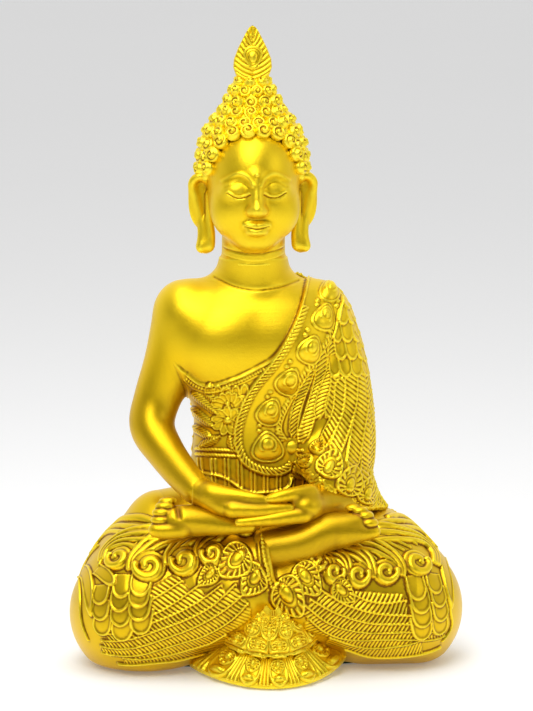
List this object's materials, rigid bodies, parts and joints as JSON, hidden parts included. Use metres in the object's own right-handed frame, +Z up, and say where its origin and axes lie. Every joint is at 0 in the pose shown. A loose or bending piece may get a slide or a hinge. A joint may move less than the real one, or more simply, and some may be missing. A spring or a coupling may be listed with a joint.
{
  "type": "seated buddha statue",
  "caption": "Seated meditating Buddha figure in gold-painted cast resin with curled hair, flame finial, feather-relief robe and skirt fan, made to stand on a shelf or altar.",
  "frame": {"origin": "middle of the footprint box, on the surface the figure stands on", "axes": "+Z up through the flame finial, -Y towards the front (the face), +X towards the figure's own left"},
  "size_m": [0.1472, 0.09, 0.2385],
  "materials": {
    "gold_paint": "satin metallic gold paint over cast polyresin, semi-gloss on the skin areas and burnished on the relief",
    "dowel_wood": "plain beech",
    "base_board": "raw fibreboard",
    "plug_rubber": "matte",
    "felt": "short-pile felt"
  },
  "bodies": {
    "root": {"lap_casting": "gold_paint", "skirt_fan": "gold_paint", "torso_casting": "gold_paint", "sash_panel": "gold_paint", "right_arm_casting": "gold_paint", "left_sleeve_casting": "gold_paint", "left_hand_casting": "gold_paint", "right_foot_casting": "gold_paint", "left_foot_casting": "gold_paint", "head_casting": "gold_paint", "hair_cap": "gold_paint", "flame_finial": "gold_paint", "shoulder_dowel": "dowel_wood", "base_board": "base_board", "filler_plug": "plug_rubber", "felt_pad": "felt"}
  },
  "joints": []
}
